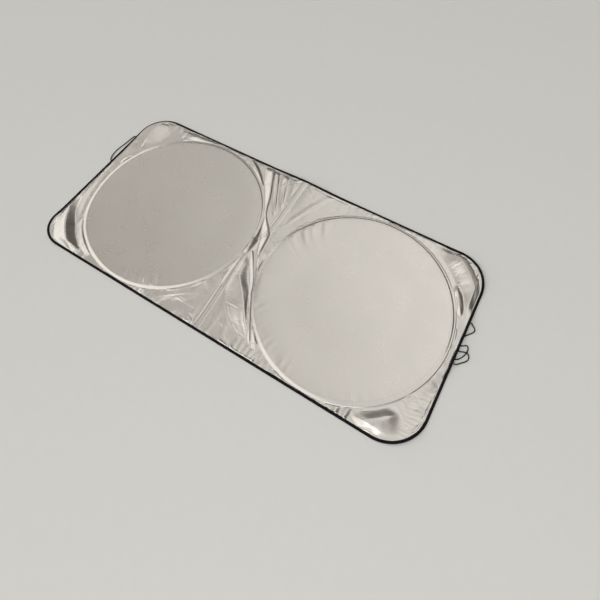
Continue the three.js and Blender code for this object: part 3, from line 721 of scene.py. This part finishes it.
def settle(start, seed, quick):
    """Lets the slack cloth between hoop and border buckle and lie down; first and last rows are held."""
    rows, columns, _ = start.shape
    share = np.linspace(0, 1, rows)[:, None]
    along = np.roll(start, -1, axis=1) - np.roll(start, 1, axis=1)
    along[..., 2] = 0
    along /= np.linalg.norm(along, axis=2, keepdims=True)
    arc = np.concatenate([[0], np.cumsum(np.linalg.norm(np.diff(start[-1, :, :2], axis=0), axis=1))])[None, :]
    shear = value_noise(arc / 120 + 0 * share, 0.5 + 0 * share + 0 * arc, seed + 100)
    cut = start + along * (CLOTH_SHEAR * share * shear)[..., None]
    patch = value_noise(start[..., 0] / 80, start[..., 1] / 80, seed + 110) * 0.5 + 0.5
    index = np.arange(rows * columns).reshape(rows, columns)
    held = np.zeros((rows, columns), bool)
    held[[0, -1]] = True
    free = ~held.ravel()
    slack = (1 + CLOTH_SLACK * (0.3 + patch)).ravel()
    place, pattern = start.reshape(-1, 3).copy(), cut.reshape(-1, 3)

    links = []
    turned = {step: np.roll(index, -step, axis=1) for step in (-1, 1, 2)}

    def link(first, second, strength):
        first, second = first.ravel(), second.ravel()
        used = free[first] | free[second]
        first, second = first[used], second[used]
        rest = np.linalg.norm(pattern[first] - pattern[second], axis=1)
        weight = free[first] * 1.0 + free[second]
        bend = strength < SHEAR_HOLD
        rest = rest * (slack[first] + slack[second]) / 2
        share_first, share_second = strength * free[first] / weight, strength * free[second] / weight
        links.append((first, second, rest, share_first, share_second, bend))

    for odd in (0, 1):
        link(index[:, odd::2], turned[1][:, odd::2], THREAD_HOLD)
        every_other = index[odd:-1:2]
        link(every_other, index[odd + 1::2][:len(every_other)], THREAD_HOLD)
        for step in (1, -1):
            link(every_other, turned[step][odd + 1::2][:len(every_other)], SHEAR_HOLD)
    for odd in (0, 2):
        pick = (np.arange(columns) % 4 == odd) | (np.arange(columns) % 4 == odd + 1)
        link(index[:, pick], turned[2][:, pick], CLOTH_STIFFNESS)
        tall = np.array([r for r in range(rows - 2) if r % 4 in (odd, odd + 1)])
        link(index[tall], index[tall + 2], CLOTH_STIFFNESS)

    before = place.copy()
    home = place.copy()
    for _ in range(QUICK_SETTLE_STEPS if quick else SETTLE_STEPS):
        moved = (place - before) * SPEED_KEPT
        moved[:, 2] -= FALL
        before = place.copy()
        place[free] += moved[free] + (home[free] - place[free]) * PULL_HOME
        for first, second, rest, share_first, share_second, bend in links:
            gap = place[second] - place[first]
            length = np.linalg.norm(gap, axis=1)
            off = (length - rest) / length
            if bend:
                off = np.minimum(off, 0)
            place[first] += gap * (off * share_first)[:, None]
            place[second] -= gap * (off * share_second)[:, None]
        low = free & (place[:, 2] < CLOTH_FLOOR)
        place[low, 2] = CLOTH_FLOOR
    return place.reshape(rows, columns, 3)


def build_panel(side, settings, material):
    coarse, fine = panel_rows(side, settings)
    few, many = coarse.shape[1], fine.shape[1]
    start = coarse.shape[0] * few
    faces = grid_faces(coarse.shape[0], few, True).tolist()
    faces += (grid_faces(fine.shape[0], many, True) + start).tolist()
    last = start - few
    for column in range(few):
        after = last + (column + 1) % few
        outer = [start + (4 * column + step) % many for step in range(5)]
        faces += [[last + column, outer[step + 1], outer[step]][::-1] for step in range(2)]
        faces += [[after, outer[step + 1], outer[step]][::-1] for step in (2, 3)]
        faces.append([last + column, after, outer[2]])
    tip = start + fine.shape[0] * many
    faces += [[tip, column, (column + 1) % few] for column in range(few)]
    points = np.vstack([coarse.reshape(-1, 3), fine.reshape(-1, 3), coarse[0].mean(axis=0)])
    piece = mesh_piece("silver_cloth_" + side, points, faces, material)
    even_normals(piece)
    return piece


def even_normals(piece):
    """Makes neighbouring faces agree on which way is out."""
    mesh = bmesh.new()
    mesh.from_mesh(piece.data)
    bmesh.ops.recalc_face_normals(mesh, faces=mesh.faces)
    mesh.to_mesh(piece.data)
    mesh.free()


def point_up(piece):
    """Turns the faces so that the cloth's upper side faces up."""
    mesh = piece.data
    if sum(face.normal.z * face.area for face in mesh.polygons) < 0:
        mesh.flip_normals()


def thicken(piece, thickness):
    solid = piece.modifiers.new("cloth_thickness", "SOLIDIFY")
    solid.thickness = thickness * MM
    solid.offset = -1
    solid.use_rim = True
    apply_modifiers(piece)


def apply_modifiers(piece):
    graph = bpy.context.evaluated_depsgraph_get()
    mesh = bpy.data.meshes.new_from_object(piece.evaluated_get(graph), depsgraph=graph)
    old = piece.data
    piece.modifiers.clear()
    piece.data = mesh
    mesh.name = piece.name
    bpy.data.meshes.remove(old)


class SHADE_OT_cloth(bpy.types.Operator):
    """Makes the two cloth panels with their creases, puckers and lapped seam"""

    bl_idname = "shade.cloth"
    bl_label = "Cloth Panels"

    def execute(self, context):
        settings = context.scene.shade_settings
        material = silver_cloth(settings)
        for side in ("left", "right"):
            piece = build_panel(side, settings, material)
            point_up(piece)
            thicken(piece, CLOTH_THICKNESS)
            finish_piece(piece, "silver_cloth", "silver_panel_" + side)
        return {"FINISHED"}


# Binding


def binding_section():
    """The folded tape's section: upper lip, bend and lower lip, and then the hollow between its sides."""
    bend = [(BEND_RADIUS * math.cos(a) - BEND_RADIUS, BEND_RADIUS * math.sin(a))
            for a in np.linspace(math.pi / 2, -math.pi / 2, 9)]
    lip = 1.25
    inner = 0.7
    outer = [(-BINDING_WIDTH, lip), (-BINDING_WIDTH + 1.6, lip + 0.15), (-5, 1.7), *bend]
    outer += [(-5, -1.7), (-BINDING_WIDTH + 1.6, -lip - 0.15), (-BINDING_WIDTH, -lip)]
    mouth = -BINDING_WIDTH + 0.1
    hollow = [(mouth, -inner), (-3.2, -1.2), (-1.2, 0), (-3.2, 1.2), (mouth, inner)]
    return outer, hollow


class SHADE_OT_binding(bpy.types.Operator):
    """Makes the black tape folded round the whole border"""

    bl_idname = "shade.binding"
    bl_label = "Edge Binding"

    def execute(self, context):
        spacing = context.scene.shade_settings.column_spacing / MM
        stations = whole_border(spacing)
        arc = np.concatenate([[0], np.cumsum(np.hypot(*np.diff(stations[:, :2], axis=0).T))])
        wobble = value_noise(arc / 9, arc * 0 + 2.5, 51) * 0.28
        wobble += value_noise(arc / 31, arc * 0 + 4.5, 52) * 0.3
        outer, hollow = binding_section()
        rings = []
        for index, (u, v) in enumerate(outer + hollow):
            lip = 1.0 if u < -BINDING_WIDTH + 2 else 0.25
            rise = 0.12 * wobble if index < len(outer) else 0
            rings.append(section_place(stations, u + wobble * lip, v + rise))
        faces = grid_faces(len(rings) + 1, len(stations), True) % (len(rings) * len(stations))
        tape = woven_tape("black_binding", (0.006, 0.006, 0.007))
        piece = mesh_piece("edge_binding_tape", np.vstack(rings), faces.tolist(), tape)
        point_out(piece)
        finish_piece(piece, "black_binding", "edge_binding")
        return {"FINISHED"}


def point_out(piece):
    """Turns the faces of a closed piece outwards."""
    mesh = piece.data
    volume = 0.0
    for face in mesh.polygons:
        corners = [mesh.vertices[i].co for i in face.vertices]
        for a, b in zip(corners[1:], corners[2:]):
            volume += corners[0].dot(a.cross(b))
    if volume < 0:
        mesh.flip_normals()


# Stitches


def stitch_nodes(material):
    """Node group that lays short stitches at even steps along the lines of a mesh, and its named inputs."""
    group = bpy.data.node_groups.new("stitch_rows", "GeometryNodeTree")
    group.interface.new_socket("Lines", in_out="INPUT", socket_type="NodeSocketGeometry")
    inputs = {}
    for name in ("Pitch", "Stitch Length", "Thread Radius", "Seed"):
        kind = "NodeSocketInt" if name == "Seed" else "NodeSocketFloat"
        inputs[name] = group.interface.new_socket(name, in_out="INPUT", socket_type=kind).identifier
    group.interface.new_socket("Stitches", in_out="OUTPUT", socket_type="NodeSocketGeometry")
    work = NodeWork(group)
    given = work.add("NodeGroupInput").outputs
    line = work.add("GeometryNodeMeshToCurve", {"Mesh": given["Lines"]})
    even = work.add("GeometryNodeResampleCurve", {"Curve": line.outputs["Curve"], "Length": given["Pitch"]},
                    mode="LENGTH")
    thread = work.add("GeometryNodeMeshCylinder", {
        "Vertices": 5, "Radius": given["Thread Radius"], "Depth": given["Stitch Length"]})
    along = work.add("GeometryNodeInputTangent").outputs["Tangent"]
    turn = work.add("FunctionNodeAlignRotationToVector", {"Vector": along}, axis="Z")
    sizes = {0: (0.9, 0.9, 0.8), 1: (1.1, 1.1, 1.1), "Seed": given["Seed"]}
    uneven = work.add("FunctionNodeRandomValue", sizes, data_type="FLOAT_VECTOR")
    placed = work.add("GeometryNodeInstanceOnPoints", {
        "Points": even.outputs["Curve"], "Instance": thread.outputs["Mesh"],
        "Rotation": turn.outputs["Rotation"], "Scale": uneven.outputs[0]})
    real = work.add("GeometryNodeRealizeInstances", {"Geometry": placed.outputs["Instances"]})
    shaded = work.add("GeometryNodeSetMaterial", {"Geometry": real.outputs["Geometry"], "Material": material})
    work.add("NodeGroupOutput", {"Stitches": shaded.outputs["Geometry"]})
    return group, inputs


def stitch_rows(settings):
    """Sewn rows as piece name, slot, lines and whether they close."""
    turn = np.linspace(0, 2 * math.pi, HOOP_LINE_POINTS, endpoint=False)
    tops = [surface_of("silver_cloth_" + side) for side in ("left", "right")]
    rows = []
    for side in ("left", "right"):
        lines = []
        for past in (-HOOP_STITCH, CHANNEL_FOOT + 2):
            radius = hoop_radius(side, turn) + past
            lines.append(laid_on(tops, HOOP_X[side] + radius * np.cos(turn), HOOP_Y + radius * np.sin(turn)))
        rows.append(("hoop_stitches_" + side, "silver_cloth", lines, True))
    y = np.linspace(BINDING_WIDTH + 2 - HALF_HEIGHT, HALF_HEIGHT - BINDING_WIDTH - 2, SEAM_LINE_POINTS)
    lines = [laid_on(tops, seam_at(y) + aside, y) for aside in SEAM_STITCHES]
    rows.append(("seam_stitches", "silver_cloth", lines, False))
    lip = section_place(whole_border(settings.column_spacing / MM), 1.8 - BINDING_WIDTH, 1.5)
    rows.append(("binding_stitches", "black_binding", [lip], True))
    return rows


def surface_of(name):
    mesh = bpy.data.objects[name].data
    corners = [vertex.co for vertex in mesh.vertices]
    return BVHTree.FromPolygons(corners, [face.vertices for face in mesh.polygons])


def laid_on(surfaces, x, y):
    """Points just over the highest of the surfaces, in millimetres."""
    above = 100 * MM
    points = []
    for place in zip(x, y):
        start = Vector((place[0] * MM, place[1] * MM, above))
        hits = [surface.ray_cast(start, Vector((0, 0, -1)))[0] for surface in surfaces]
        heights = [hit.z / MM for hit in hits if hit]
        if heights:
            points.append((*place, max(heights) + THREAD_RADIUS * 0.6))
    return np.array(points)


class SHADE_OT_stitches(bpy.types.Operator):
    """Lays the rows of stitches along the hoops, the seam and the binding"""

    bl_idname = "shade.stitches"
    bl_label = "Stitches"

    def execute(self, context):
        settings = context.scene.shade_settings
        threads = {"silver_cloth": sewing_thread("silver_thread", (0.5, 0.49, 0.46)),
                   "black_binding": sewing_thread("black_thread", (0.02, 0.02, 0.022))}
        for name, slot, lines, closed in stitch_rows(settings):
            mesh = bpy.data.meshes.new(name)
            edges, start = [], 0
            for line in lines:
                edges += [(start + i, start + i + 1) for i in range(len(line) - 1)]
                if closed:
                    edges.append((start + len(line) - 1, start))
                start += len(line)
            mesh.from_pydata((np.vstack(lines) * MM).tolist(), edges, [])
            piece = add_object(name, mesh)
            group, inputs = stitch_nodes(threads[slot])
            modifier = piece.modifiers.new("stitch_rows", "NODES")
            modifier.node_group = group
            modifier[inputs["Pitch"]] = settings.stitch_pitch
            modifier[inputs["Stitch Length"]] = settings.stitch_pitch * STITCH_SHARE
            modifier[inputs["Thread Radius"]] = THREAD_RADIUS * MM
            modifier[inputs["Seed"]] = STITCH_SEED
            apply_modifiers(piece)
            shade_smooth(piece.data)
            finish_piece(piece, slot)
        return {"FINISHED"}


# Elastics


def elastic_routes():
    """The stowage elastics' routes, sewn to the border at both ends: distance past the edge, y and height."""
    rest = ELASTIC_REST
    over = rest + ELASTIC_CROSSING
    sewn = REST_HEIGHT + ELASTIC_LIFT
    return {
        "left": (
            (-0.6, 202, REST_HEIGHT), (-4, 202, REST_HEIGHT), (-8, 195, rest),
            (-10, 178, rest), (-12, 158, rest), (-15, 138, rest), (-18, 118, rest),
            (-19, 99, rest), (-17, 81, rest), (-13, 67, rest), (-8, 57, rest),
            (-4, 52, REST_HEIGHT), (-0.6, 52, REST_HEIGHT),
        ),
        "right": (
            (0.6, -33, sewn), (5, -33, sewn - 0.3), (12, -28, rest + 1),
            (20, -19, rest), (29, -10, rest), (35, 0, rest), (35, 10, rest),
            (30, 17, rest + 1.5), (23.5, 19, over), (16, 18, rest + 1.5),
            (7, 15, rest), (0, 14, rest), (-5, 19, rest), (-5, 27, rest),
            (0, 32, rest), (8, 37, rest), (15, 42, rest), (21, 40, rest),
            (24, 31, rest), (23.5, 19, rest), (18, 3, rest), (9, -11, rest),
            (0, -17, rest), (-7, -12, rest), (-10.5, 4, rest), (-11, 24, rest),
            (-9, 44, rest), (-5, 60, rest), (2, 71, rest), (10, 82, rest),
            (18, 92, rest), (21, 102, rest), (17, 109, rest + 0.6),
            (11, 113, rest + 2.2), (5, 118, sewn - 0.2), (0.6, 118, sewn),
        ),
    }


class SHADE_OT_elastics(bpy.types.Operator):
    """Makes the stowage elastics at the two short edges"""

    bl_idname = "shade.elastics"
    bl_label = "Stowage Elastics"

    def execute(self, context):
        diameter = context.scene.shade_settings.elastic_diameter
        material = braided_elastic()
        for side, route in elastic_routes().items():
            edge = HALF_LENGTH if side == "right" else -HALF_LENGTH
            line = curved([(edge + past, y, height) for past, y, height in route], 6)
            curve = bpy.data.curves.new("elastic_cord_" + side, "CURVE")
            curve.dimensions = "3D"
            curve.bevel_depth = diameter / 2
            curve.bevel_resolution = 3
            curve.use_fill_caps = True
            spline = curve.splines.new("POLY")
            spline.points.add(len(line) - 1)
            for point, place in zip(spline.points, line * MM):
                point.co = (*place, 1)
            curve.materials.append(material)
            piece = add_object("elastic_cord_" + side, curve)
            finish_piece(piece, "black_elastic", "stowage_elastic_" + side)
        return {"FINISHED"}


# Finishes of the pieces that keep their solids


class SHADE_OT_hardware(bpy.types.Operator):
    """Gives the wires, sleeves and casings under the cloth their finishes"""

    bl_idname = "shade.hardware"
    bl_label = "Wires and Casings"

    def execute(self, context):
        wire = drawn_steel("spring_steel", (0.45, 0.46, 0.48), 0.32)
        sleeve = drawn_steel("wire_sleeve", (0.6, 0.61, 0.62), 0.38)
        tape = woven_tape("casing_tape", (0.5, 0.49, 0.47))
        for name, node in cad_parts.items():
            if node.hide_render:
                continue
            material = tape if "casing" in name else sleeve if "sleeve" in name else wire
            node.data.materials.clear()
            node.data.materials.append(material)
        return {"FINISHED"}


# Stage


def area_lamp(name, place, target, size, power):
    data = bpy.data.lights.new(name, "AREA")
    data.shape = "RECTANGLE"
    data.size, data.size_y = size
    data.energy = power
    lamp = add_object(name, data)
    lamp.location = place
    lamp.rotation_euler = (Vector(target) - Vector(place)).to_track_quat("-Z", "Y").to_euler()


def room_light(settings):
    """A soft room: a ceiling that brightens away from the camera, pale left and near sides, dim other sides
    and a pale band at the horizon."""
    world = bpy.data.worlds.new("room_light")
    world.use_nodes = True
    room = NodeWork(world.node_tree)
    direction = room.add("ShaderNodeTexCoord").outputs["Generated"]
    apart = room.add("ShaderNodeSeparateXYZ", {0: direction}).outputs
    right, away, up = apart["X"], apart["Y"], apart["Z"]

    def soft(value, edge):
        return room.spread(value, *ROOM_EDGES[edge], interpolation_type="SMOOTHSTEP")

    def both(first, second):
        return room.math("MULTIPLY", first, second)

    gain_right, gain_away = CEILING_GAIN
    least, most = CEILING_LIMITS
    slope = room.math("ADD", both(right, gain_right), both(away, gain_away))
    bright = room.math("MINIMUM", room.math("MAXIMUM", room.math("ADD", slope, CEILING_BASE), least), most)
    ceiling = both(both(bright, soft(up, "ceiling")), both(soft(away, "far_end"), soft(right, "right_end")))
    level = room.add("ShaderNodeVectorMath", {0: direction, 1: (1, 1, 0)}, operation="MULTIPLY").outputs[0]
    level = room.add("ShaderNodeVectorMath", {0: level}, operation="NORMALIZE").outputs[0]
    facing = room.add("ShaderNodeVectorMath", {0: level, 1: WALL_WAY}, operation="DOT_PRODUCT")
    wall = both(soft(facing.outputs["Value"], "wall_side"), soft(up, "wall_top"))
    near_side = both(soft(away, "near_side"), soft(right, "near_end"))
    wall = both(room.math("MAXIMUM", wall, near_side), soft(up, "wall_foot"))
    lit = room.math("MAXIMUM", both(ceiling, settings.ceiling), both(wall, settings.wall))
    lit = room.math("MAXIMUM", lit, both(soft(up, "horizon"), settings.horizon))
    background = room.nodes["Background"]
    share = room.math("MULTIPLY", lit, 1.5, clamp=True)
    room.links.new(room.mix(share, WARM_LIGHT, PALE_LIGHT), background.inputs["Color"])
    room.links.new(room.math("ADD", lit, settings.dim), background.inputs["Strength"])
    return world


class SHADE_OT_stage(bpy.types.Operator):
    """Makes the camera, the plain floor and the soft light"""

    bl_idname = "shade.stage"
    bl_label = "Stage"

    def execute(self, context):
        settings = context.scene.stage_settings
        camera_data = bpy.data.cameras.new("camera")
        camera_data.lens = settings.lens
        camera_data.sensor_width = 36
        camera_data.shift_y = -0.125
        camera_data.clip_end = 50
        camera = add_object("camera", camera_data)
        aim = Vector(settings.camera_target) - Vector(settings.camera_place)
        turn = aim.to_track_quat("-Z", "Y").to_matrix() @ Matrix.Rotation(settings.camera_roll, 3, "Z")
        camera.matrix_world = Matrix.Translation(settings.camera_place) @ turn.to_4x4()
        context.scene.camera = camera

        shader = Shader("plain_floor", settings.floor_color, 0.75)
        grain = shader.noise(30.0, 4.0)
        tint = tuple(channel * 0.97 for channel in settings.floor_color) + (1,)
        shader.set(Base_Color=shader.mix(grain, (*settings.floor_color, 1), tint))
        corners = [(FLOOR_REACH * x, FLOOR_REACH * y, 0) for x, y in ((-1, -1), (1, -1), (1, 1), (-1, 1))]
        floor = mesh_piece("floor", corners, [[0, 1, 2, 3]], shader.material)

        context.scene.world = room_light(settings)
        area_lamp("fill_lamp", FILL_PLACE, (0, 0, 0), FILL_SIZE, settings.fill)
        context.scene.view_settings.view_transform = "Standard"
        return {"FINISHED"}


class SHADE_PT_panel(bpy.types.Panel):
    """Lists the steps that dress the sunshade"""

    bl_idname = "SHADE_PT_panel"
    bl_label = "Sunshade"
    bl_space_type = "VIEW_3D"
    bl_region_type = "UI"
    bl_category = "Sunshade"

    def draw(self, context):
        for group in (context.scene.shade_settings, context.scene.stage_settings):
            for name in group.__annotations__:
                self.layout.prop(group, name)
        for operator in OPERATORS:
            self.layout.operator(operator.bl_idname)


OPERATORS = (SHADE_OT_stage, SHADE_OT_elastics, SHADE_OT_cloth, SHADE_OT_binding, SHADE_OT_stitches,
             SHADE_OT_hardware)
CLASSES = (ShadeSettings, StageSettings, *OPERATORS, SHADE_PT_panel)


def register():
    for item in CLASSES:
        bpy.utils.register_class(item)
    bpy.types.Scene.shade_settings = PointerProperty(type=ShadeSettings)
    bpy.types.Scene.stage_settings = PointerProperty(type=StageSettings)


def unregister():
    del bpy.types.Scene.stage_settings
    del bpy.types.Scene.shade_settings
    for item in reversed(CLASSES):
        bpy.utils.unregister_class(item)


def main():
    register()
    for operator in OPERATORS:
        area, name = operator.bl_idname.split(".")
        getattr(getattr(bpy.ops, area), name)()


if __name__ == "__main__":
    main()
